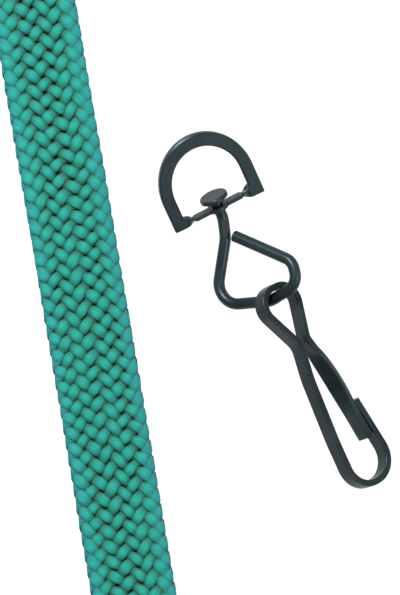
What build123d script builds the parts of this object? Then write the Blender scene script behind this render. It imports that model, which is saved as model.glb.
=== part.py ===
"""A neck lanyard: a flat braided strap closed by a folded metal crimp, and its hook set.

The hook set is a D-ring, a swivel wire whose button head turns in the D-ring's bar, and a spring
hook bent from one flat strip. Everything lies on the plane z = 0. The origin is under the middle
of the hook set. X runs across the strap, Y along it towards the crimp and Z up. Millimetres.
"""

import math
import os

from build123d import *

# Strap
STRAP_WIDTH = 10.0
STRAP_THICK = 2.4
STRAP_LAYERS = 2
STRAP_START = (-29.046, 37.304)  # middle of the strap, near the crimp
STRAP_HEADING = -80.34  # degrees from +X, the way the strap runs away from the crimp
RUN_FLAT = 81.0  # flat stretch, from STRAP_START
TWIST_LENGTH = 25.0  # over this the strap turns from flat to on edge
COIL_START = 121.0  # the turn begins here, still measured along the strap
COIL_RADIUS = 39.0  # middle of the two legs, where the coil begins
LEG_PITCH = 3.7  # between the two legs in the coil
COIL_TIGHTENING = 2 * LEG_PITCH  # the coil's radius shrinks by this in a full turn
COIL_TURN = 518.0  # degrees, to where the upper leg turns in to the bight
RETURN_LAG = 104.7  # the lower leg comes out of the bight this many degrees sooner
BIGHT_RADIUS = 14.0
BIGHT_SWEEP = 220.0
RETURN_RADIUS = 12.0
RETURN_SWEEP = 144.5

# Crimp and the strap's small end eye
CRIMP_GAP = 6.0  # from STRAP_START to the crimp
CRIMP_LENGTH = 10.0
CRIMP_WALL = 0.5
CRIMP_WIDTH = 11.4
CRIMP_ROUNDING = 0.7
CRIMP_SEAM = 0.3
DENT_RADIUS = 0.75
DENT_DEPTH = 0.15
CRIMPED_THICK = 4.0  # both layers, squeezed
EYE_LENGTH = 15.0
EYE_HEIGHT = 8.6
EYE_OPENING_START = 5.0  # from the crimp

# D-ring, from a flat blank with a bar twisted on edge in the middle
RING_MIDDLE = Vector(-6.737, 12.444, 2.151)  # middle of the bar
RING_ACROSS = Vector(0.883, 0.458, -0.101)  # along the bar
RING_UP = Vector(-0.383, 0.829, 0.408)  # from the bar to the bow, also the swivel's axis
RING_WIDTH = 11.94
RING_HEIGHT = 10.76
RING_BAND = 1.55
RING_TOP_BAND = 1.74
RING_THICK = 0.95
RING_CHAMFER = 0.18
RING_SIDE = 3.3  # from the middle of the bar to where the straight sides meet the bow
BAR_THICK = 0.5
BAR_WIDTH = 1.2
BAR_ROUNDING = 0.15
RING_SKEW = 0.35  # the bar's outer edge runs this much out of square
BAR_TWIST_OUTER = 4.3
BAR_TWIST_INNER = 3.1
BOSS_DIAMETER = 2.6

# Swivel wire
WIRE_DIAMETER = 1.4
PIN_CLEARANCE = 0.05  # radial
HEAD_DIAMETER = 3.5
HEAD_THICK = 0.5
HEAD_ROUNDING = 0.2
HEAD_CLEARANCE = 0.9
NECK_LENGTH = 1.6
EYE_RISE_X = 0.6  # the wire eye lies in a plane tilted by these slopes
EYE_RISE_Y = 0.064
# corners of the wire eye in plan, from the middle of the bar, and the bend's radius
NECK_BEND_RADIUS = 2.0
WIRE_CORNERS = [
    (0.92, -3.78, 4.0),
    (-0.33, -11.98, 2.5),
    (6.33, -11.38, 2.2),
    (9.5, -9.35, 1.9),
    (8.85, -6.6, 1.8),
]
WIRE_END = (2.0, -3.52)

# Spring hook, one flat strip bent the easy way
STRIP_WIDTH = 1.9
STRIP_THICK = 0.8
STRIP_ROUNDING = 0.16
HOOK_ORIGIN = Vector(-0.473, 3.361, 4.4)  # outside of the hook's eye
HOOK_AXIS = Vector(0.433, -0.901, -0.038)
HOOK_ROLL = 36.0
# corners of the strip's middle line: along the hook, across it, and the bend's radius
HOOK_TIP = (17.3, 3.45)
HOOK_CORNERS = [
    (27.15, 4.8, 3.1),
    (27.15, -2.12, 2.9),
    (20.5, -1.93, 12.0),
    (12.5, -1.28, 12.0),
    (8.4, -0.45, 2.5),
    (0.75, -4.2, 2.2),
    (0.75, 3.0, 2.2),
    (7.9, 0.85, 1.6),
]
GATE_CUT = (9.6, 1.28)
GATE_MIDDLE = (13.2, 2.1)
GATE_END = (22.1, 2.84)
GATE_BEND_RADIUS = 40.0
GATE_GAP = 0.05
# the gate's sections at even stations: degrees of twist and the strip's width
GATE_TWISTS = (0.0, -20.0, -26.0, -21.0, -8.0, -3.0, 0.0)
GATE_WIDTHS = (1.9, 2.1, 2.15, 2.15, 2.15, 2.1, 2.1)


def strap_frame(along, lift=0.0):
    """The place on the strap's line that many millimetres from STRAP_START."""
    heading = math.radians(STRAP_HEADING)
    x = STRAP_START[0] + along * math.cos(heading)
    y = STRAP_START[1] + along * math.sin(heading)
    return Location((x, y, lift), (0, 0, STRAP_HEADING))


def strap_run():
    """Both layers of the strap lying flat, thinner where the crimp squeezes them."""
    layers = []
    for layer in range(STRAP_LAYERS):
        flat = Pos((RUN_FLAT - CRIMP_GAP) / 2, 0, (layer + 0.5) * STRAP_THICK) * Box(
            RUN_FLAT + CRIMP_GAP, STRAP_WIDTH, STRAP_THICK
        )
        squeezed = CRIMPED_THICK / STRAP_LAYERS
        inside = Pos(
            -CRIMP_GAP - CRIMP_LENGTH / 2, 0, CRIMP_WALL + (layer + 0.5) * squeezed
        ) * Box(CRIMP_LENGTH, STRAP_WIDTH, squeezed)
        layers.append(flat + inside)
    return strap_frame(0) * Compound(children=[layers[0] + layers[1]])


def strap_twist():
    """The doubled strap turning from flat to on edge, always resting on the plane."""
    half_wide = STRAP_WIDTH / 2
    half_high = STRAP_LAYERS * STRAP_THICK / 2
    steps = 8
    sections = []
    for i in range(steps + 1):
        turn = 90 * i / steps
        lift = half_wide * math.sin(math.radians(turn))
        lift += half_high * math.cos(math.radians(turn))
        place = Pos(RUN_FLAT + TWIST_LENGTH * i / steps, 0, lift) * Rot(turn, 0, 0)
        face = Plane.YZ * Rectangle(2 * half_wide, 2 * half_high)
        sections.append(place * face)
    return strap_frame(0) * loft(sections, ruled=True)


def coil_place(turn, offset):
    """A place on the coil, turn degrees round it and offset out from the two legs' middle."""
    radius = COIL_RADIUS - COIL_TIGHTENING * turn / 360 + offset
    return Vector(COIL_START, COIL_RADIUS) + Vector(0, -radius).rotate(Axis.Z, turn)


def coil_leg(side, last_turn, steps=24):
    """One leg's middle line, straight and then round the coil: side 1 outside, -1 inside."""
    offset = side * LEG_PITCH / 2
    places = [coil_place(last_turn * i / steps, offset) for i in range(steps + 1)]
    return [Line((RUN_FLAT + TWIST_LENGTH, -offset), places[0]), Spline(places)]


def bight_arc(side, turn, radius, sweep):
    """A tighter arc that carries on from a leg's end, inside the coil."""
    centre = coil_place(turn, side * LEG_PITCH / 2 - radius)
    return CenterArc(centre, radius, start_angle=turn - 90, arc_size=sweep)


def strap_coil():
    """Both legs on edge round the coil, joined inside it by the bight."""
    return_turn = COIL_TURN - RETURN_LAG
    middle_line = coil_leg(1, COIL_TURN) + coil_leg(-1, return_turn)
    middle_line.append(bight_arc(1, COIL_TURN, BIGHT_RADIUS, BIGHT_SWEEP))
    middle_line.append(bight_arc(-1, return_turn, RETURN_RADIUS, RETURN_SWEEP))
    legs = trace(middle_line, line_width=STRAP_THICK)
    return strap_frame(0) * extrude(legs, STRAP_WIDTH)


def strap_end_eye():
    """The small eye of strap past the crimp, where a ring hangs."""
    start = -CRIMP_GAP - CRIMP_LENGTH
    middle_height = CRIMP_WALL + CRIMPED_THICK / 2
    eye_radius = EYE_HEIGHT / 2
    bend = Pos(start - EYE_LENGTH + eye_radius, eye_radius)
    mouth = Pos(start - STRAP_THICK / 2, middle_height) * Rectangle(
        STRAP_THICK, CRIMPED_THICK
    )
    outside = make_hull(mouth.edges() + (bend * Circle(eye_radius)).edges())
    parting = Pos(start - EYE_OPENING_START, middle_height) * Circle(CRIMP_SEAM)
    opening = bend * Circle(eye_radius - STRAP_THICK)
    hole = make_hull(parting.edges() + opening.edges())
    profile = Rot(90, 0, 0) * (outside - hole)
    return strap_frame(0) * extrude(profile, STRAP_WIDTH / 2, both=True)


def strap_crimp():
    """A metal sleeve folded round both layers, its two ends meeting on top."""
    high = CRIMPED_THICK + 2 * CRIMP_WALL
    sleeve = RectangleRounded(CRIMP_WIDTH, high, CRIMP_ROUNDING)
    sleeve -= RectangleRounded(
        CRIMP_WIDTH - 2 * CRIMP_WALL, CRIMPED_THICK, CRIMP_ROUNDING - CRIMP_WALL
    )
    sleeve -= Pos(0, high / 2) * Rectangle(CRIMP_SEAM, 3 * CRIMP_WALL)
    body = extrude(Plane.YZ * sleeve, CRIMP_LENGTH)
    for side in (-1, 1):
        # a pressed dent each side of the seam holds the strap
        dent_height = high / 2 + DENT_RADIUS - DENT_DEPTH
        dent = Pos(CRIMP_LENGTH / 2, side * CRIMP_WIDTH / 4, dent_height)
        body -= dent * Sphere(DENT_RADIUS)
    return strap_frame(-CRIMP_GAP - CRIMP_LENGTH, high / 2) * body


def ring_location():
    """X along the bar, Y towards the bow, Z out of the ring's face."""
    return Plane(
        origin=RING_MIDDLE,
        x_dir=RING_ACROSS,
        z_dir=RING_ACROSS.cross(RING_UP),
    ).location


def d_outline(half_width, height, bottom, skew=0.0):
    """A D: straight sides up to RING_SIDE and half an ellipse over them."""
    sides = [
        Line((-half_width, RING_SIDE), (-half_width, bottom + skew)),
        Line((-half_width, bottom + skew), (half_width, bottom)),
        Line((half_width, bottom), (half_width, RING_SIDE)),
    ]
    bow = EllipticalCenterArc(
        (0, RING_SIDE), half_width, height - RING_SIDE, start_angle=0, arc_size=180
    )
    return make_face(sides + [bow])


def d_ring():
    """The bow with its corners, the twisted stretches of the bar and the bored tab between."""
    half = RING_WIDTH / 2
    low = -RING_BAND / 2
    blank = d_outline(half, RING_HEIGHT + low, low, RING_SKEW)
    blank -= d_outline(half - RING_BAND, RING_HEIGHT + low - RING_TOP_BAND, -low)
    blank -= Rectangle(2 * BAR_TWIST_OUTER, 2 * RING_BAND)
    bow = extrude(blank, RING_THICK / 2, both=True)
    bow = chamfer(bow.edges().filter_by(GeomType.ELLIPSE), RING_CHAMFER)
    parts = bow
    steps = 6
    for side in (-1, 1):
        cut = RING_SKEW * (half - side * BAR_TWIST_OUTER) / RING_WIDTH
        sections = []
        for i in range(steps + 1):
            part_way = i / steps
            x = side * (BAR_TWIST_OUTER + (BAR_TWIST_INNER - BAR_TWIST_OUTER) * part_way)
            y = cut / 2 * (1 - part_way)
            wide = RING_BAND - cut + (BAR_WIDTH - RING_BAND + cut) * part_way
            thick = RING_THICK + (BAR_THICK - RING_THICK) * part_way
            section = Plane.YZ * RectangleRounded(wide, thick, BAR_ROUNDING)
            sections.append(Pos(x, y, 0) * Rot(90 * part_way, 0, 0) * section)
        parts += loft(sections)
    tab = Box(2 * BAR_TWIST_INNER, BAR_THICK, BAR_WIDTH)
    boss = Rot(90, 0, 0) * Cylinder(BOSS_DIAMETER / 2, BAR_THICK)
    bore = Rot(90, 0, 0) * Cylinder(WIRE_DIAMETER / 2 + PIN_CLEARANCE, 4 * BAR_THICK)
    parts = parts + tab + boss - bore
    return ring_location() * parts


def neck_end():
    """Where the straight neck stops and the tilted plane of the wire eye begins."""
    return RING_MIDDLE - RING_UP * NECK_LENGTH


def wire_point(x, y):
    """A point of the wire eye, from its place in plan."""
    neck = neck_end()
    x += RING_MIDDLE.X
    y += RING_MIDDLE.Y
    return Vector(x, y, neck.Z + EYE_RISE_X * (x - neck.X) + EYE_RISE_Y * (y - neck.Y))


def swivel_eye():
    """The wire: a straight neck through the tab, an eye bent round, and a button head."""
    head_under = BAR_THICK / 2 + HEAD_CLEARANCE
    start = RING_MIDDLE + RING_UP * (head_under + HEAD_THICK / 2)
    points = [start, neck_end()]
    points += [wire_point(x, y) for x, y, _ in WIRE_CORNERS]
    points.append(wire_point(*WIRE_END))
    radii = [NECK_BEND_RADIUS] + [radius for _, _, radius in WIRE_CORNERS]
    path = FilletPolyline(*points, radius=radii)
    section = Plane(origin=start, z_dir=path % 0) * Circle(WIRE_DIAMETER / 2)
    wire = sweep(section, path=path)
    head = Cylinder(HEAD_DIAMETER / 2, HEAD_THICK, align=(Align.CENTER, Align.CENTER, Align.MIN))
    head = fillet(head.edges().sort_by(Axis.Z)[-1], HEAD_ROUNDING)
    head_plane = Plane(origin=RING_MIDDLE + RING_UP * head_under, z_dir=RING_UP)
    return wire + head_plane.location * head


def hook_frame():
    """X along the hook, Y across it towards the gate, Z along the strip's width."""
    along = HOOK_AXIS.normalized()
    level = Vector(0, 0, 1).cross(along).normalized()
    up = along.cross(level)
    roll = math.radians(HOOK_ROLL)
    width = level * math.sin(roll) + up * math.cos(roll)
    return Plane(origin=HOOK_ORIGIN, x_dir=along, z_dir=width)


def strip_path(places, radii):
    """The middle line of a stretch of strip, from places in the hook's own frame."""
    plane = hook_frame()
    points = [plane.from_local_coords((x, y, 0)) for x, y in places]
    return FilletPolyline(*points, radius=radii)


def strip_section(path, share, twist=0.0, width=STRIP_WIDTH):
    """The strip's rounded section, square to its path."""
    along = path % share
    plane = Plane(origin=path @ share, x_dir=along.cross(hook_frame().z_dir), z_dir=along)
    section = RectangleRounded(STRIP_THICK, width, STRIP_ROUNDING)
    return plane * Rot(0, 0, twist) * section


def hook_body():
    """Tip, round bend, straight leg and eye, as far as the waist where the gate starts."""
    places = [HOOK_TIP] + [(x, y) for x, y, _ in HOOK_CORNERS] + [GATE_CUT]
    path = strip_path(places, [radius for _, _, radius in HOOK_CORNERS])
    return sweep(strip_section(path, 0), path=path)


def hook_gate():
    """The springing leg, a little twisted, with its end inside the tip."""
    run = (GATE_MIDDLE[0] - GATE_CUT[0], GATE_MIDDLE[1] - GATE_CUT[1])
    share = GATE_GAP / math.hypot(*run)
    start = (GATE_CUT[0] + run[0] * share, GATE_CUT[1] + run[1] * share)
    path = strip_path([start, GATE_MIDDLE, GATE_END], [GATE_BEND_RADIUS])
    last = len(GATE_TWISTS) - 1
    sections = []
    for i, (twist, width) in enumerate(zip(GATE_TWISTS, GATE_WIDTHS)):
        sections.append(strip_section(path, i / last, twist, width))
    return loft(sections)


NODES = {
    "strap_run": strap_run,
    "strap_twist": strap_twist,
    "strap_coil": strap_coil,
    "strap_end_eye": strap_end_eye,
    "strap_crimp": strap_crimp,
    "d_ring": d_ring,
    "swivel_eye": swivel_eye,
    "hook_body": hook_body,
    "hook_gate": hook_gate,
}

os.makedirs("parts", exist_ok=True)
hook_set = []
for name, make in NODES.items():
    shape = make()
    export_step(shape, f"parts/{name}.step")
    box = shape.bounding_box()
    print(name, "volume", round(shape.volume, 2), "low", box.min, "high", box.max)
    if not name.startswith("strap"):
        hook_set.append(shape)
box = Compound(children=hook_set).bounding_box()
print("hook set from", box.min, "to", box.max)
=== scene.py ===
import math

import bpy
import numpy as np
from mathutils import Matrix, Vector


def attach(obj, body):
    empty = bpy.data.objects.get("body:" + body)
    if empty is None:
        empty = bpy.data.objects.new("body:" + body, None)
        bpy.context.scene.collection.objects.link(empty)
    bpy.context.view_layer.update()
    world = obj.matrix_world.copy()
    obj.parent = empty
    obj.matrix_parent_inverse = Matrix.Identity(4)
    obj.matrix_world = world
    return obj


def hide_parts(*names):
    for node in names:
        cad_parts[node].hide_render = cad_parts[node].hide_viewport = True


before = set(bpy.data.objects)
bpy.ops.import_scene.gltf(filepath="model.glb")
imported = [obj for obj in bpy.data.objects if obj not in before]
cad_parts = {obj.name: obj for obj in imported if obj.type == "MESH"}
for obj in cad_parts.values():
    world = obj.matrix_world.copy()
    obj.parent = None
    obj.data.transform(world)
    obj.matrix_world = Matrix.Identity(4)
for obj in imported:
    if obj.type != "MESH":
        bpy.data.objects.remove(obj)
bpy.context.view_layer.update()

MM = 0.001

# Strap, as in the CAD source
STRAP_WIDTH = 10.0 * MM
STRAP_THICK = 2.4 * MM
STRAP_START = Vector((-29.046, 37.304, 0.0)) * MM
STRAP_HEADING = math.radians(-80.34)
CRIMP_END = -16.0 * MM
TWIST_START = 81.0 * MM
TWIST_LENGTH = 25.0 * MM
COIL_START = 121.0 * MM
COIL_RADIUS = 39.0 * MM
LEG_PITCH = 3.7 * MM
COIL_TIGHTENING = 2 * LEG_PITCH / (2 * math.pi)
COIL_TURN = math.radians(518.0)
BIGHT_RADIUS = 14.0 * MM
RETURN_RADIUS = 12.0 * MM
CRIMP_SQUEEZE = 0.1 * MM
LEG_STATIONS = [-14.5, -10, -4, 6, 20, 36, 52, 66, 76, 82, 88, 94, 100, 106, 112, 117]  # millimetres along
COIL_STEP = math.radians(15)
BIGHT_STEP = math.radians(25)
PATH_STEP = 3.0 * MM
DIRECTION_REACH = 0.6 * MM

# Braid: eight strands each way round a flattened tube, over one and under one
COLUMNS = 16
STITCH_PITCH = 1.97 * MM
STRAND_WIDE = 0.66 * MM
STRAND_THICK = 0.33 * MM
CROWN_SWELL = 0.05
STRAND_UNEVEN = 0.09
WEAVE_HEIGHT = 0.28 * MM
EDGE_START = 3.3 * MM
EDGE_END = STRAP_WIDTH / 2 - 0.5 * MM
EDGE_CALM = 0.65
EDGE_SWELL = 0.2
# raises the painted-shade height of edge strands, so they are painted lighter; the strand does not move
EDGE_SHADE_LIFT = 0.18 * MM
TUBE_HALF_THICK = 0.60 * MM
EDGE_OVERHANG = 0.30 * MM
COLUMN_SPREAD = 0.10
TUBE_ROLL = 0.25
CROWN_UPRIGHT = 0.34
COLUMN_PAIRING = 0.07
WANDER_ALONG = 0.34 * MM
WANDER_ACROSS = 0.10
WANDER_SCALE = 1.6 / 3.6
WANDER_WAVES = [  # waves round the tube, radians per millimetre along it, share of the shift, height
    (2, 1 / 7.1, 1.0, 1.0),
    (3, -1 / 4.3, 2.2, 1.0),
    (5, 1 / 11.7, 3.1, 1.0),
    (0, 1 / 2.9, 1.7, 0.6),
]
CORE_HALF_WIDE = 4.2 * MM
CORE_HALF_THICK = 0.3 * MM
FINE_REACH = 86.0 * MM
FINE_STEPS = 12
PLAIN_STEPS = 5
FINE_SIDES = 10
PLAIN_SIDES = 6
EYE_STEPS = 8
EYE_SIDES = 8
YARN_APART = 3.7  # how far the grain of one strand lies from the next one's

# End eye: corners of the bend past the crimp, along the strap and up, in millimetres
END_EYE = [
    (-14.8, 3.5),
    (-16.5, 3.5),
    (-19.5, 4.6),
    (-23.5, 6.9),
    (-27.2, 7.9),
    (-29.9, 6.6),
    (-30.0, 2.6),
    (-27.4, 1.1),
    (-23.5, 1.25),
    (-19.0, 1.4),
    (-16.5, 1.5),
    (-14.8, 1.5),
]

# Colours of the braid and the metal; the braid's pit, flank and crown colours are painted shade and
# painted light, chosen by height in the weave
YARN_PIT_SHADE = (0.017, 0.022, 0.014)
YARN_FLANK_SHADE = (0.017, 0.080, 0.055)
YARN_CROWN_LIT = (0.009, 0.210, 0.163)
# painted sheen: bluish tint on the strap's edge strands
YARN_EDGE_SHEEN = (1.3, 0.98, 1.22)
FILAMENT_DARK = (0.82, 0.82, 0.82)
FILAMENT_LIGHT = (1.12, 1.1, 1.1)
STEEL_DARK = (0.003, 0.006, 0.008)
STEEL_LIGHT = (0.007, 0.014, 0.016)
STEEL_GLINT = (0.74, 0.95, 1.0)
STEEL_ROUGHNESS = 0.36
WHITE = (1.0, 1.0, 1.0)
FLOOR_GREY = (0.04, 0.04, 0.04)

# Light and surface
WORLD_STRENGTH = 0.6
KEY_PLACE = (-0.16, 0.26, 0.42)
KEY_SIZE = 0.14
KEY_POWER = 4.6
FILL_PLACE = (0.35, -0.1, 0.35)
FILL_SIZE = 0.20
FILL_POWER = 1.2
FLOOR_HALF = 1.2
FLOOR_DROP = 0.1 * MM
FLOOR_GLOW = 1.02

# Camera
VIEW_CENTRE = Vector((-8.906, 1.493, 3.0)) * MM
VIEW_HEIGHT = 71.69 * MM
LENS = 200.0
SENSOR = 36.0


# ---------------------------------------------------------------- shader helpers

def opaque(colour):
    return (*colour, 1.0)


def new_material(name):
    material = bpy.data.materials.new(name)
    material.use_nodes = True
    nodes = material.node_tree.nodes
    return material, nodes, material.node_tree.links, nodes["Principled BSDF"]


def ramp(nodes, stops):
    """A colour ramp. The first two stops are the node's own ends, and others lie between them."""
    node = nodes.new("ShaderNodeValToRGB")
    elements = node.color_ramp.elements
    for i, (position, colour) in enumerate(stops):
        element = elements[i] if i < 2 else elements.new(position)
        element.position = position
        element.color = opaque(colour)
    return node


def attribute(nodes, name):
    node = nodes.new("ShaderNodeAttribute")
    node.attribute_name = name
    return node


def noise(nodes, scale, detail):
    node = nodes.new("ShaderNodeTexNoise")
    node.inputs["Scale"].default_value = scale
    node.inputs["Detail"].default_value = detail
    return node


def multiply(nodes):
    node = nodes.new("ShaderNodeMix")
    node.data_type = "RGBA"
    node.blend_type = "MULTIPLY"
    node.inputs["Factor"].default_value = 1.0
    return node


def add_bump(nodes, links, shader, height, strength, distance):
    """Roughens the shader's surface by a texture's height."""
    bump = nodes.new("ShaderNodeBump")
    bump.inputs["Strength"].default_value = strength
    bump.inputs["Distance"].default_value = distance
    links.new(height.outputs["Fac"], bump.inputs["Height"])
    links.new(bump.outputs["Normal"], shader.inputs["Normal"])


# ---------------------------------------------------------------- camera and studio

def make_camera():
    data = bpy.data.cameras.new("camera")
    data.lens = LENS
    data.sensor_width = SENSOR
    data.clip_start = 0.01
    camera = bpy.data.objects.new("camera", data)
    camera.location = VIEW_CENTRE + Vector((0, 0, VIEW_HEIGHT * LENS / SENSOR))
    bpy.context.scene.collection.objects.link(camera)
    bpy.context.scene.camera = camera


def area_light(name, place, size, power):
    data = bpy.data.lights.new(name, "AREA")
    data.shape = "DISK"
    data.size = size
    data.energy = power
    light = bpy.data.objects.new(name, data)
    light.location = place
    light.rotation_euler = (VIEW_CENTRE - Vector(place)).to_track_quat("-Z", "Y").to_euler()
    bpy.context.scene.collection.objects.link(light)


def make_floor():
    """The white surface that the lanyard lies on. It glows, so it has no shadows."""
    mesh = bpy.data.meshes.new("floor")
    half = FLOOR_HALF
    corners = [(-half, -half, 0), (half, -half, 0), (half, half, 0), (-half, half, 0)]
    mesh.from_pydata(corners, [], [(0, 1, 2, 3)])
    floor = bpy.data.objects.new("floor", mesh)
    floor.location.z = -FLOOR_DROP
    bpy.context.scene.collection.objects.link(floor)
    material, _, _, shader = new_material("floor")
    shader.inputs["Base Color"].default_value = opaque(FLOOR_GREY)
    shader.inputs["Roughness"].default_value = 0.9
    shader.inputs["Emission Color"].default_value = opaque(WHITE)
    shader.inputs["Emission Strength"].default_value = FLOOR_GLOW
    mesh.materials.append(material)


def make_studio():
    world = bpy.data.worlds.new("studio")
    bpy.context.scene.world = world
    world.use_nodes = True
    background = world.node_tree.nodes["Background"]
    background.inputs["Color"].default_value = opaque(WHITE)
    background.inputs["Strength"].default_value = WORLD_STRENGTH
    area_light("key", KEY_PLACE, KEY_SIZE, KEY_POWER)
    area_light("fill", FILL_PLACE, FILL_SIZE, FILL_POWER)
    make_floor()


# ---------------------------------------------------------------- strap: route and frames

def strap_to_row(point):
    """A point given along the strap, across it and up, in the row frame."""
    cos, sin = math.cos(STRAP_HEADING), math.sin(STRAP_HEADING)
    x = STRAP_START.x + point[0] * cos - point[1] * sin
    y = STRAP_START.y + point[0] * sin + point[1] * cos
    return Vector((x, y, point[2]))


def arc(centre, radius, start, end, step=COIL_STEP, tightening=0.0):
    """Control points round an arc or a spiral, at the height of a strap on edge."""
    count = max(2, round(abs(end - start) / step))
    turn = (end - start) / count
    points = []
    for i in range(count + 1):
        a = start + turn * i
        out = (radius - tightening * turn * i) / math.cos(turn / 2)
        points.append((centre[0] + out * math.cos(a), centre[1] + out * math.sin(a), STRAP_WIDTH / 2))
    return points


def twist_share(along):
    """0 before the twist and 1 after it, by the place along the strap's straight stretch."""
    return np.clip((along - TWIST_START) / TWIST_LENGTH, 0, 1)


def twist_angle(along):
    """How far the strap has turned from flat, eased at both ends of the twist."""
    share = twist_share(along)
    return math.pi / 2 * share * share * (3 - 2 * share)


def leg_point(along, side):
    """The middle of one leg before the coil: side 1 is the upper leg, -1 the lower one."""
    angle = twist_angle(along)
    lift = STRAP_WIDTH / 2 * math.sin(angle) + STRAP_THICK * math.cos(angle)
    gap = STRAP_THICK / 2 + (LEG_PITCH - STRAP_THICK) / 2 * twist_share(along)
    squeeze = CRIMP_SQUEEZE if along < CRIMP_END / 2 else 0.0
    return (along, -side * gap * math.sin(angle), lift + side * gap * math.cos(angle) - squeeze)


def coil_radius(turned, side):
    """A leg's radius after it has turned so far round the coil."""
    return COIL_RADIUS - COIL_TIGHTENING * turned + side * LEG_PITCH / 2


def bight_lag():
    """How much sooner the lower leg comes out of the bight, so that its two arcs just meet."""
    reach = coil_radius(COIL_TURN, 1) - BIGHT_RADIUS
    apart = BIGHT_RADIUS + RETURN_RADIUS
    lag = 2.0
    for _ in range(40):
        other = coil_radius(COIL_TURN - lag, -1) - RETURN_RADIUS
        meet = math.acos((reach**2 + other**2 - apart**2) / (2 * reach * other))
        lag = (lag + meet) / 2
    return lag


def strap_route():
    """The strap's middle line: the upper leg out, round the coil, the bight, and the lower leg back."""
    out = [leg_point(x * MM, 1) for x in LEG_STATIONS]
    back = [leg_point(x * MM, -1) for x in reversed(LEG_STATIONS)]
    middle = (COIL_START, COIL_RADIUS)
    start = -math.pi / 2
    end = start + COIL_TURN
    return_turn = COIL_TURN - bight_lag()
    return_at = start + return_turn
    reach = coil_radius(COIL_TURN, 1) - BIGHT_RADIUS
    other = coil_radius(return_turn, -1) - RETURN_RADIUS
    bight = (middle[0] + reach * math.cos(end), middle[1] + reach * math.sin(end))
    turned = (middle[0] + other * math.cos(return_at), middle[1] + other * math.sin(return_at))
    meet = math.atan2(turned[1] - bight[1], turned[0] - bight[0])
    sweep = (meet - end) % (2 * math.pi)
    back_sweep = (meet + math.pi - return_at) % (2 * math.pi)
    coil = arc(middle, coil_radius(0, 1), start, end, tightening=COIL_TIGHTENING)
    coil += arc(bight, BIGHT_RADIUS, end, end + sweep, BIGHT_STEP)[1:]
    coil += arc(turned, RETURN_RADIUS, return_at + back_sweep, return_at, BIGHT_STEP)[1:]
    inner = arc(middle, coil_radius(0, -1), start, return_at, tightening=COIL_TIGHTENING)
    return out + coil + inner[-2::-1] + back


def spline_line(points, name):
    """The points of the smooth line that a curve with these control points makes."""
    data = bpy.data.curves.new(name, "CURVE")
    data.dimensions = "3D"
    data.resolution_u = 16
    spline = data.splines.new("NURBS")
    spline.points.add(len(points) - 1)
    for spot, point in zip(spline.points, points, strict=True):
        spot.co = (*point, 1.0)
    spline.order_u = 3
    spline.use_endpoint_u = True
    holder = bpy.data.objects.new(name, data)
    mesh = bpy.data.meshes.new_from_object(holder)
    line = np.empty(len(mesh.vertices) * 3)
    mesh.vertices.foreach_get("co", line)
    bpy.data.objects.remove(holder)
    bpy.data.meshes.remove(mesh)
    bpy.data.curves.remove(data)
    return line.reshape(-1, 3)


def unit(v):
    return v / np.linalg.norm(v, axis=-1, keepdims=True)


class Line:
    """Places at any distance along a smooth line."""

    def __init__(self, line):
        steps = np.linalg.norm(np.diff(line, axis=0), axis=1)
        self.line = line
        self.reach = np.concatenate([[0.0], np.cumsum(steps)])
        self.length = self.reach[-1]

    def at(self, distance):
        return np.stack([np.interp(distance, self.reach, self.line[:, k]) for k in range(3)], axis=-1)

    def ahead(self, distance):
        after = self.at(np.minimum(distance + DIRECTION_REACH, self.length))
        return unit(after - self.at(np.maximum(distance - DIRECTION_REACH, 0)))


class StrapLine(Line):
    """The strap: flat near the crimp, on edge round the coil."""

    def frames(self, distance):
        """Middle, width direction and face direction of the strap at each distance."""
        middle = self.at(distance)
        ahead = self.ahead(distance)
        side = unit(np.cross([0.0, 0.0, 1.0], ahead))
        offset = middle - np.array(STRAP_START)
        along = offset[:, 0] * math.cos(STRAP_HEADING) + offset[:, 1] * math.sin(STRAP_HEADING)
        half = self.length / 2
        deep = np.abs(distance - half) < half - (COIL_START - CRIMP_END)
        angle = np.where(deep, math.pi / 2, twist_angle(along))
        flip = np.where(distance < half, 1.0, -1.0)
        across = np.cos(angle)[:, None] * flip[:, None] * side
        across = across + np.sin(angle)[:, None] * np.array([0.0, 0.0, 1.0])
        across = unit(across - ahead * np.sum(across * ahead, axis=1, keepdims=True))
        return middle, across, unit(np.cross(ahead, across))


class EyeLine(Line):
    """The end eye: bent over itself past the crimp, its width level all the way."""

    def frames(self, distance):
        ahead = self.ahead(distance)
        width = np.array([-math.sin(STRAP_HEADING), math.cos(STRAP_HEADING), 0.0])
        across = np.broadcast_to(width, ahead.shape)
        return self.at(distance), across, unit(np.cross(ahead, across))


# ---------------------------------------------------------------- strap: braid

def tube_place(column):
    """Place and outward direction on the flattened tube's section, by column."""
    turn = 2 * np.pi * (column + 0.5 + TUBE_ROLL) / COLUMNS
    round_half = TUBE_HALF_THICK
    flat_half = STRAP_WIDTH / 2 + EDGE_OVERHANG - STRAND_THICK - WEAVE_HEIGHT - round_half
    quarter = flat_half + math.pi * round_half / 2
    s = (turn + COLUMN_SPREAD / 2 * np.sin(2 * turn)) * quarter / (np.pi / 2)
    s = np.mod(s + 2 * quarter, 4 * quarter) - 2 * quarter
    sign = np.sign(s)
    s = np.abs(s)
    bend = np.clip((s - flat_half) / round_half, 0, np.pi)
    rest = np.clip(s - flat_half - np.pi * round_half, 0, None)
    w = np.minimum(s, flat_half) + round_half * np.sin(bend) - rest
    n = round_half * np.cos(bend)
    return sign * w, n, sign * np.sin(bend), np.cos(bend)


def wander(column, reach, shift):
    """A slow unevenness of the braid, the same for every strand that passes a place."""
    around = 2 * np.pi * column / COLUMNS
    mm = reach / MM
    total = sum(high * np.sin(n * around + rate * mm + s * shift) for n, rate, s, high in WANDER_WAVES)
    return WANDER_SCALE * total


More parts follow.
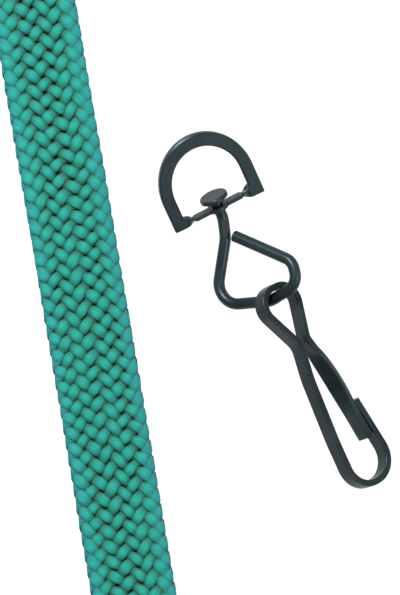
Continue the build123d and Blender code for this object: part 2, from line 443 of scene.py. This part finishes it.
def oval_rings(centre, wide, thick, sides):
    """A ring of vertices round each centre, and the sine of each vertex's turn round it."""
    turn = np.arange(sides) * 2 * np.pi / sides
    cos = np.cos(turn)[None, :, None]
    sin = np.sin(turn)[None, :, None]
    return centre[:, None] + wide[:, None] * cos + thick[:, None] * sin, np.sin(turn)[None]


def strand(line, family, number, reach, sides):
    """One strand's rings of vertices, with their height in the weave (which the material paints as shade
    and light), run and edge share.
    """
    column = 2 * number + family * 2 * reach / STITCH_PITCH
    crown = family * np.cos(np.pi * column)
    column = column - CROWN_UPRIGHT * family * np.sin(np.pi * column) / np.pi
    placed = column + COLUMN_PAIRING * crown * family + WANDER_ACROSS * wander(column, reach, 1.0)
    w, n, out_w, out_n = tube_place(placed)
    middle, across, face = line.frames(reach + WANDER_ALONG * wander(column, reach, 4.0))
    outward = out_w[:, None] * across + out_n[:, None] * face
    edge = np.clip((np.abs(w) - EDGE_START) / (EDGE_END - EDGE_START), 0, 1)
    rise = WEAVE_HEIGHT * crown * (1 - EDGE_CALM * edge)
    centre = middle + w[:, None] * across + n[:, None] * face + rise[:, None] * outward
    ahead = unit(np.gradient(centre, axis=0))
    side = unit(np.cross(ahead, outward))
    up = np.cross(side, ahead)
    wobble = 1 + CROWN_SWELL * crown + EDGE_SWELL * edge
    wobble = wobble + STRAND_UNEVEN * np.sin(reach / MM * 1.3 + number * 2.1 + 4 * family)
    rings, sin = oval_rings(centre, side * (STRAND_WIDE * wobble)[:, None], up * STRAND_THICK, sides)
    # painted shade: this height only colours the strand, dark underneath and in the pits, light on top
    shade_lift = rise + EDGE_SHADE_LIFT * edge
    height = (shade_lift[:, None] + STRAND_THICK * sin) / (WEAVE_HEIGHT + STRAND_THICK)
    run = np.concatenate([[0.0], np.cumsum(np.linalg.norm(np.diff(centre, axis=0), axis=1))])
    return rings, height, run, edge


def core(line, reach, sides):
    """The filling inside the braid, a dark sheet coloured with the painted pit shade that shows through
    the gaps between strands.
    """
    middle, across, face = line.frames(reach)
    rings, _ = oval_rings(middle, across * CORE_HALF_WIDE, face * CORE_HALF_THICK, sides)
    # height -1 gives the core the darkest painted shade
    return rings, np.full(rings.shape[:2], -1.0), reach, np.zeros(len(reach))


def ring_faces(rings, sides):
    """Quads between neighbouring rings, numbered from 0."""
    i = np.arange(rings - 1)[:, None] * sides
    k = np.arange(sides)[None]
    after = (k + 1) % sides
    return np.stack([i + k, i + after, i + sides + after, i + sides + k], axis=-1).reshape(-1, 4)


def mesh_from_quads(name, verts, faces):
    mesh = bpy.data.meshes.new(name)
    mesh.vertices.add(len(verts))
    mesh.vertices.foreach_set("co", verts.astype(np.float32).ravel())
    mesh.loops.add(faces.size)
    mesh.loops.foreach_set("vertex_index", faces.astype(np.int32).ravel())
    mesh.polygons.add(len(faces))
    mesh.polygons.foreach_set("loop_start", np.arange(len(faces), dtype=np.int32) * 4)
    mesh.polygons.foreach_set("use_smooth", np.ones(len(faces), dtype=bool))
    mesh.update(calc_edges=True)
    return mesh


def add_attribute(mesh, name, kind, parts):
    """Stores one number ("value") or three ("vector") for each vertex, for the material to read."""
    store = mesh.attributes.new(name, "FLOAT" if kind == "value" else "FLOAT_VECTOR", "POINT")
    store.data.foreach_set(kind, np.concatenate(parts).astype(np.float32).ravel())


def braid_mesh(name, line, blocks):
    """Every strand of the braid in one mesh. blocks is a list of (distances, sides)."""
    verts, faces, shade_heights, yarns, edges = [], [], [], [], []
    total = 0
    for reach, sides in blocks:
        parts = [core(line, reach, sides)]
        for family in (1, -1):
            for number in range(COLUMNS // 2):
                parts.append(strand(line, family, number, reach, sides))
        for k, (rings, height, run, edge) in enumerate(parts):
            verts.append(rings.reshape(-1, 3))
            shade_heights.append(height.reshape(-1))
            edges.append(np.repeat(edge, sides))
            faces.append(ring_faces(len(reach), sides) + total)
            total += rings.shape[0] * sides
            around = np.broadcast_to(np.arange(sides) / sides, height.shape)
            along = np.broadcast_to(run[:, None] / MM, height.shape)
            apart = np.full(height.shape, YARN_APART * k)
            yarns.append(np.stack([along, around, apart], axis=-1).reshape(-1, 3))
    mesh = mesh_from_quads(name, np.concatenate(verts), np.concatenate(faces))
    # "rise" carries the painted shade height to the material
    add_attribute(mesh, "rise", "value", shade_heights)
    add_attribute(mesh, "edge", "value", edges)
    add_attribute(mesh, "yarn", "vector", yarns)
    piece = bpy.data.objects.new(name, mesh)
    bpy.context.scene.collection.objects.link(piece)
    return piece


def braided(name, line, blocks, nodes, material):
    """A braided piece that rides the strap and takes the place of plain CAD nodes."""
    piece = braid_mesh(name, line, blocks)
    piece.data.materials.append(material)
    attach(piece, "strap")
    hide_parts(*nodes)
    return piece


def make_strap(material):
    route = [strap_to_row(point) for point in strap_route()]
    line = StrapLine(spline_line(route, "strap_route"))
    fine = np.arange(0, FINE_REACH - CRIMP_END, STITCH_PITCH / FINE_STEPS)
    plain = np.arange(fine[-1], line.length, STITCH_PITCH / PLAIN_STEPS)
    blocks = [(fine, FINE_SIDES), (plain, PLAIN_SIDES)]
    strap = braided("strap", line, blocks, ("strap_run", "strap_twist", "strap_coil"), material)
    bend = [strap_to_row(Vector((x, 0, z)) * MM) for x, z in END_EYE]
    eye_line = EyeLine(spline_line(bend, "eye_route"))
    blocks = [(np.arange(0, eye_line.length, STITCH_PITCH / EYE_STEPS), EYE_SIDES)]
    eye = braided("end_eye", eye_line, blocks, ("strap_end_eye",), material)
    path = line.at(np.arange(0, line.length, PATH_STEP))


# ---------------------------------------------------------------- materials

def braid_material():
    """Matt spun yarn: fine filaments along each strand, painted shade between strands, a painted bluish
    sheen at the edges.
    """
    material, nodes, links, shader = new_material("strap_braid")
    stretch = nodes.new("ShaderNodeMapping")
    stretch.inputs["Scale"].default_value = (0.9, 22.0, 1.0)
    links.new(attribute(nodes, "yarn").outputs["Vector"], stretch.inputs["Vector"])
    filaments = noise(nodes, 1.0, 3.0)
    links.new(stretch.outputs["Vector"], filaments.inputs["Vector"])
    # painted shade: pits and strand undersides get the dark colour, strand crowns the lit colour
    weave_shade = ramp(nodes, [(0.0, YARN_PIT_SHADE), (1.0, YARN_CROWN_LIT), (0.56, YARN_FLANK_SHADE)])
    reach = nodes.new("ShaderNodeMapRange")
    reach.inputs["From Min"].default_value = -0.5
    reach.inputs["From Max"].default_value = 0.98
    links.new(attribute(nodes, "rise").outputs["Fac"], reach.inputs["Value"])
    links.new(reach.outputs["Result"], weave_shade.inputs["Fac"])
    streak = ramp(nodes, [(0.3, FILAMENT_DARK), (0.75, FILAMENT_LIGHT)])
    links.new(filaments.outputs["Fac"], streak.inputs["Fac"])
    tint = multiply(nodes)
    links.new(weave_shade.outputs["Color"], tint.inputs["A"])
    links.new(streak.outputs["Color"], tint.inputs["B"])
    # painted sheen: edge strands tinted bluish as a grazing sheen would show
    edge_sheen = multiply(nodes)
    edge_sheen.inputs["B"].default_value = opaque(YARN_EDGE_SHEEN)
    links.new(attribute(nodes, "edge").outputs["Fac"], edge_sheen.inputs["Factor"])
    links.new(tint.outputs["Result"], edge_sheen.inputs["A"])
    links.new(edge_sheen.outputs["Result"], shader.inputs["Base Color"])
    add_bump(nodes, links, shader, filaments, 0.35, 0.05 * MM)
    shader.inputs["Roughness"].default_value = 0.8
    shader.inputs["Specular IOR Level"].default_value = 0.12
    return material


def steel_material():
    """Black oxide on steel: blue-green black with mottled gloss."""
    material, nodes, links, shader = new_material("black_steel")
    place = nodes.new("ShaderNodeTexCoord")
    cloud = noise(nodes, 260.0, 4.0)
    grain = noise(nodes, 4200.0, 2.0)
    for texture in (cloud, grain):
        links.new(place.outputs["Object"], texture.inputs["Vector"])
    colour = ramp(nodes, [(0.35, STEEL_DARK), (0.7, STEEL_LIGHT)])
    links.new(cloud.outputs["Fac"], colour.inputs["Fac"])
    links.new(colour.outputs["Color"], shader.inputs["Base Color"])
    gloss = nodes.new("ShaderNodeMapRange")
    gloss.inputs["To Min"].default_value = STEEL_ROUGHNESS - 0.08
    gloss.inputs["To Max"].default_value = STEEL_ROUGHNESS + 0.12
    links.new(cloud.outputs["Fac"], gloss.inputs["Value"])
    links.new(gloss.outputs["Result"], shader.inputs["Roughness"])
    add_bump(nodes, links, shader, grain, 0.05, 0.01 * MM)
    shader.inputs["Specular IOR Level"].default_value = 0.32
    shader.inputs["Specular Tint"].default_value = opaque(STEEL_GLINT)
    return material


def dress(node, material):
    """Gives a CAD node its material."""
    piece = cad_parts[node]
    for slot in piece.material_slots:
        slot.link = "OBJECT"
        slot.material = material


make_camera()
make_studio()
braid = braid_material()
steel = steel_material()
make_strap(braid)
for name in ("d_ring", "swivel_eye", "hook_body", "hook_gate", "strap_crimp"):
    dress(name, steel)
bpy.context.scene.view_settings.view_transform = "Standard"
